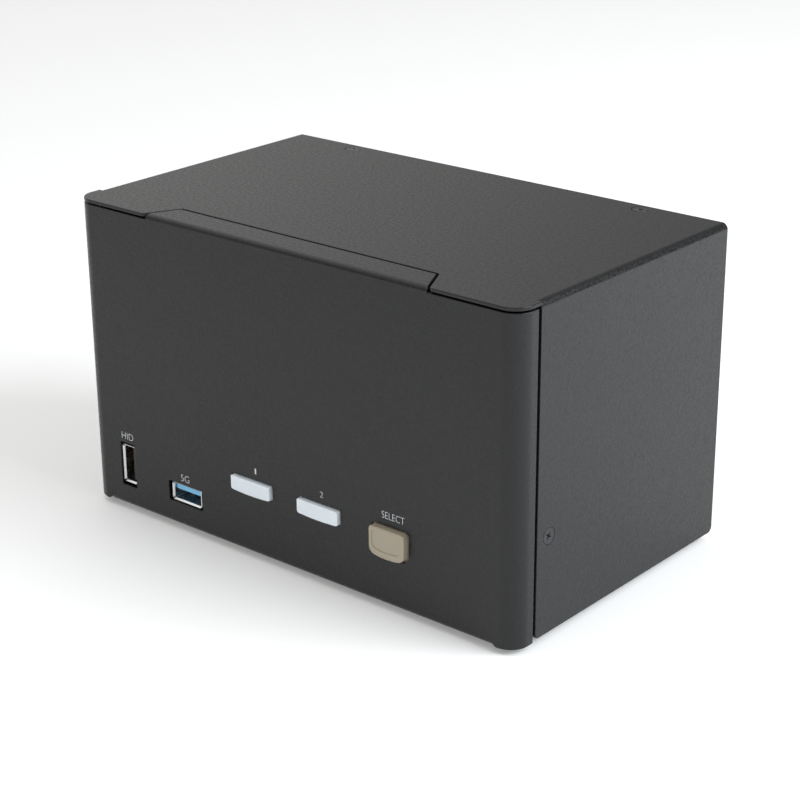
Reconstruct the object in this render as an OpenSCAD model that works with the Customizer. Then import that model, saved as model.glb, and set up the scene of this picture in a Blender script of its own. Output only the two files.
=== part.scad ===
// KVM switch for two computers and three screens.
// A folded sheet-steel case: a base tray, a rear panel, a front panel with round upright
// corners, and a cover whose top reaches forward over the front panel's corners.
// Inside stand a main board, three video boards on standoffs, and a small board for the
// lamps and the push switch. Sizes are millimetres. The origin is under the middle of the
// case, on the surface that the rubber feet stand on; the front faces -Y.

/* [Case] */
// Width over the two sides of the cover
body_w = 185; // [183:1:200]
// Depth from the front face to the rear edge of the cover
body_d = 109; // [109:1:125]
// Height from the underside of the front panel to the top of the cover
body_h = 108; // [108:1:120]
// Sheet thickness of the cover
cover_t = 1.2; // [1:0.1:1.4]
// Outer radius of the bend between the cover's top and sides
cover_bend = 2.2; // [2:0.2:3]
// Sheet thickness of the other case pieces
sheet_t = 1; // [0.8:0.1:1]
// Outer radius of the front panel's upright corners, and of the cover's front corners
corner_r = 6.5; // [5:0.5:7]
// Outer radius of the bends along the front panel's top and bottom
panel_bend = 2; // [1.5:0.1:2.2]
// Where the side of the cover starts, behind the front face
seam_y = 10.3; // [9.8:0.1:11]
// Open seam between the front panel and the side of the cover
seam_gap = 1.2; // [0.5:0.1:1.4]
// Height of the rubber feet below the case
foot_h = 2; // [2:0.5:3]
// Diameter of a rubber foot
foot_dia = 12; // [8:1:14]

/* [Notch in the cover] */
// Half width of the notch at the front edge
notch_front = 60; // [50:1:64]
// Half width of the notch at its back
notch_back = 54; // [44:1:58]
// Depth of the notch
notch_y = 12; // [10:0.5:14]
// Groove between the notch and the front panel's top flange
groove = 0.9; // [0.6:0.1:1.2]

/* [Front sockets and windows] */
// Middle of the vertical data socket, from the middle of the case
hid_x = -74.3; // [-75:0.1:-73]
// Its height
hid_z = 15.5; // [15.3:0.1:15.7]
// Middle of the horizontal data socket
fast_x = -46.5; // [-48:0.1:-46]
// Its height
fast_z = 11.9; // [11.7:0.1:12.1]
// Long side of a socket's opening in the front panel
port_w = 16; // [15:0.1:16]
// Short side of that opening
port_h = 7.2; // [6.8:0.1:7.4]
// Middle of the first lamp window
lamp_x = -14.75; // [-15:0.05:-14]
// Distance from window to window, and on to the button
pitch = 29.4; // [28:0.1:30]
// Top edge of the windows
lamp_top = 26.5; // [26:0.1:27]
// Width of a window
lamp_w = 17.4; // [16:0.1:18]
// Height of a window in its middle
lamp_h = 5.3; // [5:0.1:5.6]
// How far a window stands out of the front face
lamp_proud = 1.2; // [0.5:0.1:1.5]
// Gap round a window
lamp_gap = 0.35; // [0.3:0.05:0.5]

/* [Push button] */
// Top edge of the button
button_top = 26.9; // [26.5:0.1:27.2]
// Width of the button
button_w = 14.2; // [13.5:0.1:15]
// Height of the button in its middle
button_h = 10.1; // [9.5:0.1:10.4]
// How far the button stands out of the front face
button_proud = 2.05; // [1.5:0.05:2.5]
// Gap round the button
button_gap = 0.55; // [0.4:0.05:0.7]
// Travel of the button and of the switch's plunger
button_travel = 0.8; // [0.3:0.1:0.8]

/* [Boards] */
// Thickness of every circuit board
board_t = 1.6; // [1.6:0.1:1.8]
// Underside of the main board
main_z = 7; // [7:0.1:7.2]
// Underside of the lowest video board
video_z = 33; // [32:1:34]
// Distance from one video board to the next
video_pitch = 24; // [23:1:24]
// Distance between the columns of video sockets
video_col = 50; // [40:1:52]

/* [Hidden] */

// Round faces that a fit or a screw depends on
FINE = 48;
// Steps of a quarter-round bend that is drawn as a polygon
BEND = 10;
// Cut-outs run past a wall by this much
PAST = 0.5;

// Case
tongue_gap = 0.6;
panel_top = body_h - cover_t - tongue_gap;
cover_skirt = 0.55;
cover_in = body_w/2 - cover_t;
tab_out = cover_in - 0.2;
tab_back = 24;
flange_back = notch_y - groove;
bottom_bend_half = body_w/2 - 8.5;
bottom_flange_y = 14;
tray_z = sheet_t;
rear_out = body_d - 0.8;
rear_in = rear_out - sheet_t;
tray_out = tab_out - 0.1;
tray_top = 40;
foot_x = body_w/2 - 24;
foot_front = 24;
foot_back = body_d - 18;

// Screws
m3 = 1.5;
m3_loose = 1.65;
csk_r = 2.8;
side_screw_y = 16.1;
side_screw_z = 33.1;
top_screw_x = 62;
top_screw_y = body_d - 4.3;
panel_screw_x = [-66, -22, 22, 66];
panel_screw_y = 9;
rear_screw_x = [-60, 0, 60];
rear_screw_y = rear_in - 6;

// Front controls
lamp_xs = [lamp_x, lamp_x + pitch];
button_x = lamp_x + 2*pitch;
lamp_flange = 1.1;
button_flange = 1.1;
button_rest = sheet_t + 0.15;
flange_t = 1.2;
frame_y = 3.7;
frame_t = 1.4;
ctrl_y = 9.5;
ctrl_x0 = -32;
ctrl_x1 = 61;
ctrl_z0 = 12;
ctrl_z1 = 31;
stud_xs = [ctrl_x0 + 3.5, ctrl_x1 - 3.5];
stud_z = 22;
stud_end = 14.2;
button_mid_z = button_top - button_h/2;
switch_w = 6.2;
plunger_r = 1.6;
plunger_front = 4.4;
switch_y = plunger_front + button_travel + 0.7;
plunger_back = 7.2;
post_r = 1.9;

// Sockets with a flat insert: outside of the shell and its wall
port_shell_w = 13.3;
port_shell_h = 5.9;
port_wall = 0.35;
port_front = 0.7;
port_lip = 0.45;
port_len = 14;
insert_front = 1.2;
insert_t = 1.8;
insert_gap = 0.3;

// Boards
board_x = 84;
board_front = 15;
board_back = rear_in - 2.2;
main_top = main_z + board_t;
post_x = 78;
post_ys = [24, body_d - 20];
standoff_af = 5.5;
video_zs = [for (i = [0:2]) video_z + i*video_pitch];
gap_floors = [main_top, video_zs[0] + board_t, video_zs[1] + board_t];
link_y = 40;
link_len = 44;
link_w = 6;
link_split = 8.5;
chip_xs = [-40, 0, 40];
sink_x = 0;
sink_y = 62;
sink_w = 46;
sink_l = 30;
sink_h = 11;
chip_w = 17;
chip_h = 1.4;

// Rear sockets, measured from the middle of the case
rear_face = body_d;
video_w = 17;
video_h = 5.9;
video_rise = 0.3;
video_xs = [-video_col, 0, video_col];
host_xs = [-22, 4];
host_w = 12;
host_h = 10.8;
console_xs = [28, 46];
audio_xs = [62, 71, 80];
audio_z = main_top + 3.2;
power_x = -72;
power_z = main_top + 5.6;
ground_x = -50;
ground_z = 14;

// A point list along an arc, from angle a0 to angle a1
function arc(cx, cy, r, a0, a1, n) =
    [for (i = [0:n]) let (a = a0 + (a1 - a0)*i/n) [cx + r*cos(a), cy + r*sin(a)]];

// A rectangle with round corners, centred on the origin
function round_rect(w, h, r) =
    concat(
        arc(w/2 - r, h/2 - r, r, 0, 90, 5),
        arc(-w/2 + r, h/2 - r, r, 90, 180, 5),
        arc(-w/2 + r, -h/2 + r, r, 180, 270, 5),
        arc(w/2 - r, -h/2 + r, r, 270, 360, 5));

// Outline with a straight top at y = 0, round corners and a bottom edge that sags by `sag`.
// Its width is w and its greatest height h.
function smile(w, h, sag, r_top, r_bottom) =
    let (
        big = w*w/(8*sag) + sag/2,
        xc = w/2 - r_bottom,
        turn = asin(xc/(big - r_bottom)),
        yc = big - h - sqrt(pow(big - r_bottom, 2) - xc*xc))
    concat(
        arc(w/2 - r_top, -r_top, r_top, 0, 90, 5),
        arc(-w/2 + r_top, -r_top, r_top, 90, 180, 5),
        arc(-xc, yc, r_bottom, 180, 270 - turn, 5),
        [for (i = [1:11]) let (a = 270 - turn + 2*turn*i/12) [big*cos(a), big - h + big*sin(a)]],
        arc(xc, yc, r_bottom, 270 + turn, 360, 5));

function lamp_outline(grow) =
    smile(lamp_w + 2*grow, lamp_h + 2*grow, 0.4 + grow*0.05, 0.5 + grow, 0.9 + grow);
function button_outline(grow) =
    smile(button_w + 2*grow, button_h + 2*grow, 0.9 + grow*0.1, 1.3 + grow, 2.2 + grow);

// Moves a piece drawn from the front face and the case's underside into the part's own frame
module place() { translate([0, -body_d/2, foot_h]) children(); }

// Extrudes an outline drawn in X and Z from y0 back to y1
module to_back(y0, y1) {
    translate([0, y1, 0]) rotate([90, 0, 0]) linear_extrude(y1 - y0) children();
}

// A round bar along Y from y0 to y1
module bar_y(x, z, r, y0, y1) {
    translate([x, y1, z]) rotate([90, 0, 0]) cylinder(r = r, h = y1 - y0, $fn = FINE);
}

// A countersunk M3 screw whose flat head is at z = 0 and whose shank points down
module csk_screw(head_t, len) {
    difference() {
        union() {
            translate([0, 0, -head_t]) cylinder(r1 = m3_loose, r2 = csk_r, h = head_t, $fn = FINE);
            translate([0, 0, -len]) cylinder(r = m3 - 0.05, h = len - head_t + 0.1, $fn = FINE);
        }
        cross_recess();
    }
}

module cross_recess() {
    for (turn = [0, 90]) {
        rotate([0, 0, turn]) translate([-1.35, -0.3, -0.75]) cube([2.7, 0.6, 1.5]);
    }
}

// The matching countersunk hole through a sheet of thickness t, top face at z = 0
module csk_hole(t) {
    translate([0, 0, -t]) cylinder(r1 = m3_loose, r2 = csk_r, h = t, $fn = FINE);
    translate([0, 0, -t - PAST]) cylinder(r = m3_loose, h = PAST + 0.1, $fn = FINE);
    translate([0, 0, -0.001]) cylinder(r = csk_r, h = PAST, $fn = FINE);
}

// A pan-head M3 screw whose head stands on z = 0 and whose shank points down
module pan_screw(head_r, head_t, len) {
    difference() {
        union() {
            cylinder(r = head_r, h = head_t, $fn = FINE);
            translate([0, 0, -len]) cylinder(r = m3 - 0.05, h = len + 0.1, $fn = FINE);
        }
        translate([0, 0, head_t]) cross_recess();
    }
}

// ---- Case ----

// Plan of the notch, grown outwards by g on its three closed sides
module notch_plan(g) {
    polygon([[-notch_front - g, -PAST], [notch_front + g, -PAST], [notch_front + g, 0],
        [notch_back + g, notch_y + g], [-notch_back - g, notch_y + g], [-notch_front - g, 0]]);
}

// Section of the cover across the case
function cover_section() =
    let (w = body_w/2, r = cover_bend, ri = cover_bend - cover_t)
    concat(
        [[w, cover_skirt]],
        arc(w - r, body_h - r, r, 0, 90, BEND),
        arc(-w + r, body_h - r, r, 90, 180, BEND),
        [[-w, cover_skirt], [-w + cover_t, cover_skirt]],
        arc(-w + r, body_h - r, ri, 180, 90, BEND),
        arc(w - r, body_h - r, ri, 90, 0, BEND),
        [[w - cover_t, cover_skirt]]);

// Plan of the flat ear of the cover's top that lies over a front corner
function ear_plan() =
    let (w = body_w/2, r = corner_r)
    concat(
        [[w - cover_bend, seam_y], [w, seam_y]],
        [for (p = arc(w - r, r, r, 0, -90, BEND)) p],
        [[notch_front, 0], [notch_back, notch_y], [w - cover_bend, notch_y]]);

module cover() {
    color("#2b2c2e") place() difference() {
        union() {
            difference() {
                to_back(seam_y, body_d) polygon(cover_section());
                translate([0, 0, body_h - cover_t - PAST]) {
                    linear_extrude(cover_t + 2*PAST) notch_plan(0);
                }
            }
            for (side = [0, 1]) {
                mirror([side, 0, 0]) translate([0, 0, body_h - cover_t]) {
                    linear_extrude(cover_t) polygon(ear_plan());
                }
            }
        }
        for (s = [-1, 1]) {
            translate([s*top_screw_x, top_screw_y, body_h]) csk_hole(cover_t);
            translate([s*body_w/2, side_screw_y, side_screw_z]) {
                rotate([0, s*90, 0]) csk_hole(cover_t);
            }
        }
    }
}

// Plan of the front panel's wall with its two round corners
function wall_plan() =
    let (w = body_w/2, r = corner_r, ri = corner_r - sheet_t, y = seam_y - seam_gap)
    concat(
        [[w, y]],
        arc(w - r, r, r, 0, -90, BEND),
        arc(-w + r, r, r, -90, -180, BEND),
        [[-w, y], [-w + sheet_t, y]],
        arc(-w + r, r, ri, -180, -90, BEND),
        arc(w - r, r, ri, -90, 0, BEND),
        [[w - sheet_t, y]]);

// Section of a bent edge: a flange of length `back`, its outer face at height 0, growing
// upwards to `up`
function bend_section(back, up) =
    concat(
        [[0, up]],
        arc(panel_bend, panel_bend, panel_bend, 180, 270, BEND),
        [[back, 0], [back, sheet_t]],
        arc(panel_bend, panel_bend, panel_bend - sheet_t, 270, 180, BEND),
        [[sheet_t, up]]);

module bent_edge(half, back, up) {
    translate([-half, 0, 0]) rotate([90, 0, 90]) {
        linear_extrude(2*half) polygon(bend_section(back, up));
    }
}

module front_panel() {
    wall_cut = 3.2;
    color("#242527") place() difference() {
        union() {
            difference() {
                linear_extrude(panel_top) polygon(wall_plan());
                translate([-bottom_bend_half - 0.4, -PAST, -PAST]) {
                    cube([2*bottom_bend_half + 0.8, sheet_t + 2*PAST, wall_cut + PAST]);
                }
            }
            bent_edge(bottom_bend_half, bottom_flange_y, wall_cut + 0.2);
            intersection() {
                translate([0, 0, body_h]) mirror([0, 0, 1]) {
                    bent_edge(notch_front, flange_back, body_h - panel_top + 2);
                }
                translate([0, 0, panel_top - 3]) linear_extrude(6) notch_plan(-groove);
            }
            for (s = [-1, 1]) {
                side_tab(s);
            }
            for (x = stud_xs) {
                bar_y(x, stud_z, m3, sheet_t - 0.2, stud_end);
            }
        }
        front_openings();
        for (x = panel_screw_x) {
            translate([x, panel_screw_y, 0]) mirror([0, 0, 1]) csk_hole(sheet_t);
        }
    }
}

// The joggled tab behind a front corner, which the side screw threads into
module side_tab(s) {
    difference() {
        mirror([s < 0 ? 1 : 0, 0, 0]) {
            translate([tab_out - sheet_t, seam_y - 2.6, 5]) {
                cube([sheet_t, tab_back - seam_y + 2.6, panel_top - 8]);
            }
            translate([tab_out - sheet_t, seam_y - 2.6, 5]) {
                cube([body_w/2 - tab_out + sheet_t - 0.3, 1.4, panel_top - 8]);
            }
        }
        translate([s*tab_out, side_screw_y, side_screw_z]) rotate([0, 90, 0]) {
            cylinder(r = m3, h = 8, center = true, $fn = FINE);
        }
    }
}

module front_openings() {
    y0 = -PAST;
    y1 = sheet_t + PAST;
    to_back(y0, y1) translate([hid_x, hid_z]) polygon(round_rect(port_h, port_w, 0.5));
    to_back(y0, y1) translate([fast_x, fast_z]) polygon(round_rect(port_w, port_h, 0.5));
    for (x = lamp_xs) {
        to_back(y0, y1) translate([x, lamp_top + lamp_gap]) polygon(lamp_outline(lamp_gap));
    }
    to_back(y0, y1) translate([button_x, button_top + button_gap]) {
        polygon(button_outline(button_gap));
    }
}

module rear_panel() {
    half = cover_in - 0.25;
    top = body_h - cover_t - 0.05;
    corner_cut = cover_bend - cover_t - 0.2;
    color("#3a3b3d") place() difference() {
        union() {
            to_back(rear_in, rear_out) {
                polygon([[-half, tray_z + sheet_t], [half, tray_z + sheet_t],
                    [half, top - corner_cut], [half - corner_cut, top],
                    [-half + corner_cut, top], [-half, top - corner_cut]]);
            }
            translate([-half + 3, rear_in - 9, top - sheet_t]) {
                cube([2*half - 6, 9.2, sheet_t]);
            }
            translate([-half + 3, rear_in - 11, tray_z + sheet_t]) {
                cube([2*half - 6, 11.2, sheet_t]);
            }
        }
        rear_openings();
        for (x = [-top_screw_x, top_screw_x]) {
            translate([x, top_screw_y, top - 4]) cylinder(r = m3, h = 8, $fn = FINE);
        }
        for (x = rear_screw_x) {
            translate([x, rear_screw_y, tray_z]) cylinder(r = m3, h = 4, $fn = FINE);
        }
    }
}

module rear_openings() {
    gap = 0.4;
    y0 = rear_in - PAST;
    y1 = rear_out + PAST;
    for (z = video_zs, x = video_xs) {
        to_back(y0, y1) translate([x, z + board_t + video_rise + video_h/2]) {
            polygon(round_rect(video_w + 2*gap, video_h + 2*gap, 0.6));
        }
    }
    for (x = host_xs) {
        to_back(y0, y1) translate([x, main_top + 0.2 + host_h/2]) {
            polygon(round_rect(host_w + 2*gap, host_h + 2*gap, 0.6));
        }
    }
    for (x = console_xs) {
        to_back(y0, y1) translate([x, main_top + 0.2 + port_shell_h/2]) {
            polygon(round_rect(port_shell_w + 2*gap, port_shell_h + 2*gap, 0.6));
        }
    }
    for (x = audio_xs) {
        bar_y(x, audio_z, 3.2, y0, y1);
    }
    bar_y(power_x, power_z, 4.4, y0, y1);
    bar_y(ground_x, ground_z, m3, y0, y1);
    vent_slots(y0, y1);
}

// Air slots between the columns of video sockets
module vent_slots(y0, y1) {
    for (z = video_zs, x = [-1.5*video_col, -0.5*video_col, 0.5*video_col, 1.5*video_col]) {
        for (i = [-1:1]) {
            to_back(y0, y1) translate([x + 5*i, z + 9]) polygon(round_rect(2, 12, 0.95));
        }
    }
}

// Plan of the tray, with front corners that follow the front panel's from inside
function tray_plan() =
    let (xc = body_w/2 - corner_r, r = tray_out - xc)
    concat(
        [[-bottom_bend_half, 3], [bottom_bend_half, 3]],
        arc(xc, corner_r, r, -90, 0, BEND),
        [[tray_out, rear_out - 0.4], [-tray_out, rear_out - 0.4]],
        arc(-xc, corner_r, r, 180, 270, BEND));

module base_tray() {
    color("#2f3032") place() difference() {
        union() {
            translate([0, 0, tray_z]) linear_extrude(sheet_t) polygon(tray_plan());
            for (s = [-1, 1]) {
                translate([s*(tray_out - sheet_t/2) - sheet_t/2, tab_back + 1, tray_z]) {
                    cube([sheet_t, rear_in - tab_back - 2, tray_top - tray_z]);
                }
            }
        }
        for (x = panel_screw_x) {
            translate([x, panel_screw_y, tray_z - PAST]) cylinder(r = m3, h = 3, $fn = FINE);
        }
        for (x = rear_screw_x) {
            translate([x, rear_screw_y, tray_z]) mirror([0, 0, 1]) csk_hole(sheet_t);
        }
        for (x = [-post_x, post_x], y = post_ys) {
            translate([x, y, tray_z]) mirror([0, 0, 1]) csk_hole(sheet_t);
        }
        for (x = [-foot_x, foot_x], y = [foot_front, foot_back]) {
            translate([x, y, tray_z - PAST]) cylinder(r = 2.1, h = 3, $fn = FINE);
        }
    }
}

module rubber_feet() {
    color("#151515") place() {
        for (x = [-foot_x, foot_x], y = [foot_front, foot_back]) {
            translate([x, y, -foot_h]) {
                rotate_extrude($fn = FINE) polygon([[0, 0], [foot_dia/2 - 0.8, 0],
                    [foot_dia/2, 0.8], [foot_dia/2, foot_h + tray_z], [2, foot_h + tray_z],
                    [2, foot_h + tray_z + sheet_t], [2.8, foot_h + tray_z + sheet_t],
                    [1.4, foot_h + tray_z + sheet_t + 1.6], [0, foot_h + tray_z + sheet_t + 1.6]]);
            }
        }
    }
}

module top_screws() {
    color("#1c1c1e") place() for (s = [-1, 1]) {
        translate([s*top_screw_x, top_screw_y, body_h]) csk_screw(cover_t, 6);
    }
}

module side_screws() {
    color("#1c1c1e") place() for (s = [-1, 1]) {
        translate([s*body_w/2, side_screw_y, side_screw_z]) {
            rotate([0, s*90, 0]) csk_screw(cover_t, 6);
        }
    }
}

// The screws under the tray: those of the rear panel and of the standoffs
module base_screws() {
    color("#1c1c1e") place() {
        for (x = rear_screw_x) {
            translate([x, rear_screw_y, tray_z]) mirror([0, 0, 1]) csk_screw(sheet_t, 4);
        }
        for (x = [-post_x, post_x], y = post_ys) {
            translate([x, y, tray_z]) mirror([0, 0, 1]) csk_screw(sheet_t, 4.5);
        }
    }
}

// The screws through the front panel's bottom flange
module panel_screws() {
    color("#1c1c1e") place() for (x = panel_screw_x) {
        translate([x, panel_screw_y, 0]) mirror([0, 0, 1]) csk_screw(sheet_t, 4.5);
    }
}

module stud_nuts() {
    color("silver") place() for (x = stud_xs) {
        translate([x, ctrl_y + board_t, stud_z]) rotate([-90, 0, 0]) difference() {
            cylinder(r = 2.75/cos(30), h = 2.3, $fn = 6);
            translate([0, 0, -1]) cylinder(r = m3 + 0.05, h = 5, $fn = FINE);
        }
    }
}

module ground_screw() {
    washer_t = 0.6;
    proud = body_d - rear_out + button_proud;
    color("silver") place() translate([ground_x, rear_out, ground_z]) rotate([-90, 0, 0]) {
        difference() {
            union() {
                cylinder(r = 3.5, h = washer_t, $fn = FINE);
                translate([0, 0, washer_t - 0.01]) {
                    cylinder(r = 2.75, h = proud - washer_t + 0.01, $fn = FINE);
                }
                translate([0, 0, -5]) cylinder(r = m3 - 0.05, h = 5.1, $fn = FINE);
            }
            translate([0, 0, proud]) cross_recess();
        }
    }
}

// ---- Front controls ----

// A clear block that shows a lamp: the face, a rim behind the panel and a stem to the lamp
module lamp_window(x) {
    color("#dfe8f2") place() {
        to_back(-lamp_proud, sheet_t + 0.1) translate([x, lamp_top]) polygon(lamp_outline(0));
        to_back(sheet_t, sheet_t + flange_t) translate([x, lamp_top + lamp_flange]) {
            polygon(lamp_outline(lamp_flange));
        }
        to_back(sheet_t + flange_t - 0.1, ctrl_y - 1.1) translate([x, lamp_top - lamp_h/2]) {
            square([12, 3.2], center = true);
        }
    }
}

module lamp_window_1() { lamp_window(lamp_xs[0]); }

module lamp_window_2() { lamp_window(lamp_xs[1]); }

module lamp_leds() {
    color("#f4f1d8") place() for (x = lamp_xs, dx = [-3, 3]) {
        translate([x + dx - 1.4, ctrl_y - 0.8, lamp_top - lamp_h/2 - 0.8]) {
            cube([2.8, 0.8, 1.6]);
        }
    }
}

module select_button() {
    color("#6e6659") place() {
        to_back(-button_proud, button_rest + 0.1) translate([button_x, button_top]) {
            polygon(button_outline(0));
        }
        to_back(button_rest, button_rest + flange_t) {
            translate([button_x, button_top + button_flange]) {
                polygon(button_outline(button_flange));
            }
        }
        bar_y(button_x, button_mid_z, post_r, button_rest + flange_t - 0.1, plunger_front);
    }
}

module switch_plunger() {
    color("#20242c") place() {
        bar_y(button_x, button_mid_z, plunger_r, plunger_front, plunger_back);
    }
}

module switch_body() {
    color("#303338") place() difference() {
        translate([button_x - switch_w/2, switch_y, button_mid_z - switch_w/2]) {
            cube([switch_w, ctrl_y - switch_y, switch_w]);
        }
        bar_y(button_x, button_mid_z, plunger_r + 0.08, switch_y - 1, ctrl_y - 1);
    }
}

// The moulded frame that holds the windows' stems and the switch square to the panel
module button_frame() {
    stem_gap = 0.2;
    color("#1b1b1c") place() difference() {
        union() {
            translate([ctrl_x0, frame_y, ctrl_z0 + 1]) {
                cube([ctrl_x1 - ctrl_x0, frame_t, ctrl_z1 - ctrl_z0 - 2]);
            }
            for (x = stud_xs) {
                bar_y(x, stud_z, 3, frame_y, ctrl_y);
            }
            for (x = [lamp_xs[0], lamp_xs[1], button_x], s = [-1, 1]) {
                translate([x + s*10 - 1, frame_y, ctrl_z0 + 2]) cube([2, ctrl_y - frame_y, 4]);
            }
        }
        for (x = stud_xs) {
            bar_y(x, stud_z, m3 + 0.15, frame_y - 1, ctrl_y + 1);
        }
        for (x = lamp_xs) {
            translate([x - 6 - stem_gap, frame_y - 1, lamp_top - lamp_h/2 - 1.6 - stem_gap]) {
                cube([12 + 2*stem_gap, frame_t + 2, 3.2 + 2*stem_gap]);
            }
        }
        translate([button_x - switch_w/2 - 0.3, frame_y - 1, button_mid_z - switch_w/2 - 0.3]) {
            cube([switch_w + 0.6, frame_t + 2, switch_w + 0.6]);
        }
    }
}

module button_board() {
    color("#1d5a34") place() difference() {
        translate([ctrl_x0, ctrl_y, ctrl_z0]) {
            cube([ctrl_x1 - ctrl_x0, board_t, ctrl_z1 - ctrl_z0]);
        }
        for (x = stud_xs) {
            bar_y(x, stud_z, m3 + 0.15, ctrl_y - 1, ctrl_y + board_t + 1);
        }
    }
}

// The right-angle header that joins the button board to the main board
module button_header() {
    pins = 8;
    color("#111111") place() {
        translate([4, ctrl_y + board_t, ctrl_z0 + 0.4]) cube([pins*2.54, 2.4, 2.5]);
        for (i = [0:pins - 1]) {
            translate([4.95 + i*2.54, ctrl_y + board_t + 2.3, ctrl_z0 + 1.3]) cube([0.6, 4.3, 0.6]);
            translate([4.95 + i*2.54, ctrl_y + board_t + 6, main_top]) {
                cube([0.6, 0.6, ctrl_z0 + 1.9 - main_top]);
            }
        }
    }
}

// ---- Data sockets ----

// The folded shell of a flat data socket, lying along Y from 0 back to len, floor at z = 0.
// A lip stands out all round its mouth.
module flat_shell(w, h, len) {
    difference() {
        union() {
            translate([-w/2, 0, 0]) cube([w, len, h]);
            translate([-w/2 - port_lip, 0, -port_lip]) {
                cube([w + 2*port_lip, port_wall, h + 2*port_lip]);
            }
        }
        translate([-w/2 + port_wall, -1, port_wall]) cube([w - 2*port_wall, len + 0.6, h - 2*port_wall]);
    }
}

// Its insert: a block at the back and a tongue nearer to the top
module flat_insert(w, h, len) {
    in_w = w - 2*port_wall - 0.1;
    in_h = h - 2*port_wall - 0.1;
    translate([-in_w/2, 10, port_wall + 0.05]) cube([in_w, len - 10.5, in_h]);
    translate([-in_w/2 + 0.2, insert_front, h - port_wall - insert_gap - insert_t]) {
        cube([in_w - 0.4, 10.1 - insert_front, insert_t]);
    }
}

// Contact strips on the underside of the tongue
module flat_contacts(w, h, count, step) {
    tongue_under = h - port_wall - insert_gap - insert_t;
    for (i = [0:count - 1]) {
        translate([(i - (count - 1)/2)*step - 0.5, insert_front + 0.9, tongue_under - 0.25]) {
            cube([1, 9.1 - insert_front, 0.25]);
        }
    }
}

// Puts a socket drawn with its mouth at y = 0 into the horizontal opening of the front panel
module at_fast() { place() translate([fast_x, port_front, fast_z - port_shell_h/2]) children(); }

// The same for the vertical opening, where the tongue lies on the right-hand side
module at_hid() {
    place() translate([hid_x - port_shell_h/2, port_front, hid_z]) rotate([0, 90, 0]) children();
}

module hid_shell() {
    color("#c8c8c8") at_hid() flat_shell(port_shell_w, port_shell_h, port_len);
}

module hid_insert() {
    color("#101010") at_hid() flat_insert(port_shell_w, port_shell_h, port_len);
}

module hid_contacts() {
    color("#d8b040") at_hid() flat_contacts(port_shell_w, port_shell_h, 4, 2.4);
}

module fast_shell() {
    color("#c8c8c8") at_fast() flat_shell(port_shell_w, port_shell_h, port_len);
}

module fast_insert() {
    color("#3f8fd0") at_fast() flat_insert(port_shell_w, port_shell_h, port_len);
}

module fast_contacts() {
    color("#d8b040") at_fast() flat_contacts(port_shell_w, port_shell_h, 4, 2.4);
}

// ---- Boards ----

module post_holes(z) {
    for (x = [-post_x, post_x], y = post_ys) {
        translate([x, y, z - 1]) cylinder(r = m3 + 0.15, h = board_t + 2, $fn = FINE);
    }
}

module main_board() {
    color("#1d5a34") place() difference() {
        translate([0, 0, main_z]) linear_extrude(board_t) {
            polygon([[-board_x, 4.5], [-36, 4.5], [-36, board_front], [board_x, board_front],
                [board_x, board_back], [-board_x, board_back]]);
        }
        post_holes(main_z);
    }
}

module video_board(z) {
    color("#1d5a34") place() difference() {
        translate([-board_x, board_front + 1.5, z]) {
            cube([2*board_x, board_back - board_front - 1.5, board_t]);
        }
        post_holes(z);
    }
}

module video_board_1() { video_board(video_zs[0]); }

module video_board_2() { video_board(video_zs[1]); }

module video_board_3() { video_board(video_zs[2]); }

// A hexagon standoff from z0 up to z1, bored for the screw or stud below it, with a stud on
// top where `stud` is above zero
module standoff(z0, z1, stud) {
    difference() {
        union() {
            translate([0, 0, z0]) cylinder(r = standoff_af/2/cos(30), h = z1 - z0, $fn = 6);
            if (stud > 0) translate([0, 0, z1 - 0.1]) cylinder(r = m3, h = stud + 0.1, $fn = FINE);
        }
        translate([0, 0, z0 - 1]) cylinder(r = m3 + 0.05, h = min(5, z1 - z0 - 1.4) + 1, $fn = FINE);
        if (stud == 0) translate([0, 0, z1 - 6]) cylinder(r = m3 + 0.05, h = 7, $fn = FINE);
    }
}

module base_standoffs() {
    color("#b9973f") place() for (x = [-post_x, post_x], y = post_ys) {
        translate([x, y, 0]) standoff(tray_z + sheet_t, main_z, board_t + 3);
    }
}

module stack_standoffs() {
    color("#b9973f") place() for (x = [-post_x, post_x], y = post_ys, i = [0:2]) {
        translate([x, y, 0]) standoff(gap_floors[i], video_zs[i], i < 2 ? board_t + 3 : 0);
    }
}

module board_screws() {
    color("silver") place() for (x = [-post_x, post_x], y = post_ys) {
        translate([x, y, video_zs[2] + board_t]) pan_screw(2.8, 2, board_t + 4);
    }
}

module board_sockets() {
    color("#111111") place() for (z = gap_floors) {
        translate([-link_len/2, link_y, z]) cube([link_len, link_w, link_split]);
    }
}

module board_plugs() {
    color("#e5e0d0") place() for (i = [0:2]) {
        z0 = gap_floors[i] + link_split;
        translate([-link_len/2, link_y, z0]) cube([link_len, link_w, video_zs[i] - z0]);
    }
}

module video_chips() {
    color("#151617") place() for (z = video_zs) {
        translate([sink_x - chip_w/2, sink_y - chip_w/2, z + board_t]) {
            cube([chip_w, chip_w, chip_h]);
        }
    }
}

module heat_sinks() {
    fins = 9;
    fin_t = 1.4;
    step = (sink_w - fin_t)/(fins - 1);
    color("#8d9196") place() for (z = video_zs) {
        translate([sink_x - sink_w/2, sink_y - sink_l/2, z + board_t + chip_h]) {
            cube([sink_w, sink_l, 2.2]);
            for (i = [0:fins - 1]) {
                translate([i*step, 0, 2.1]) cube([fin_t, sink_l, sink_h - 2.1]);
            }
        }
    }
}

module hub_chips() {
    color("#151617") place() {
        for (x = chip_xs) {
            translate([x - 4.5, 66, main_top]) cube([9, 9, 1]);
        }
        for (x = chip_xs) {
            translate([x - 3, 22, main_top]) cube([6, 5, 1.2]);
        }
    }
}

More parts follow.
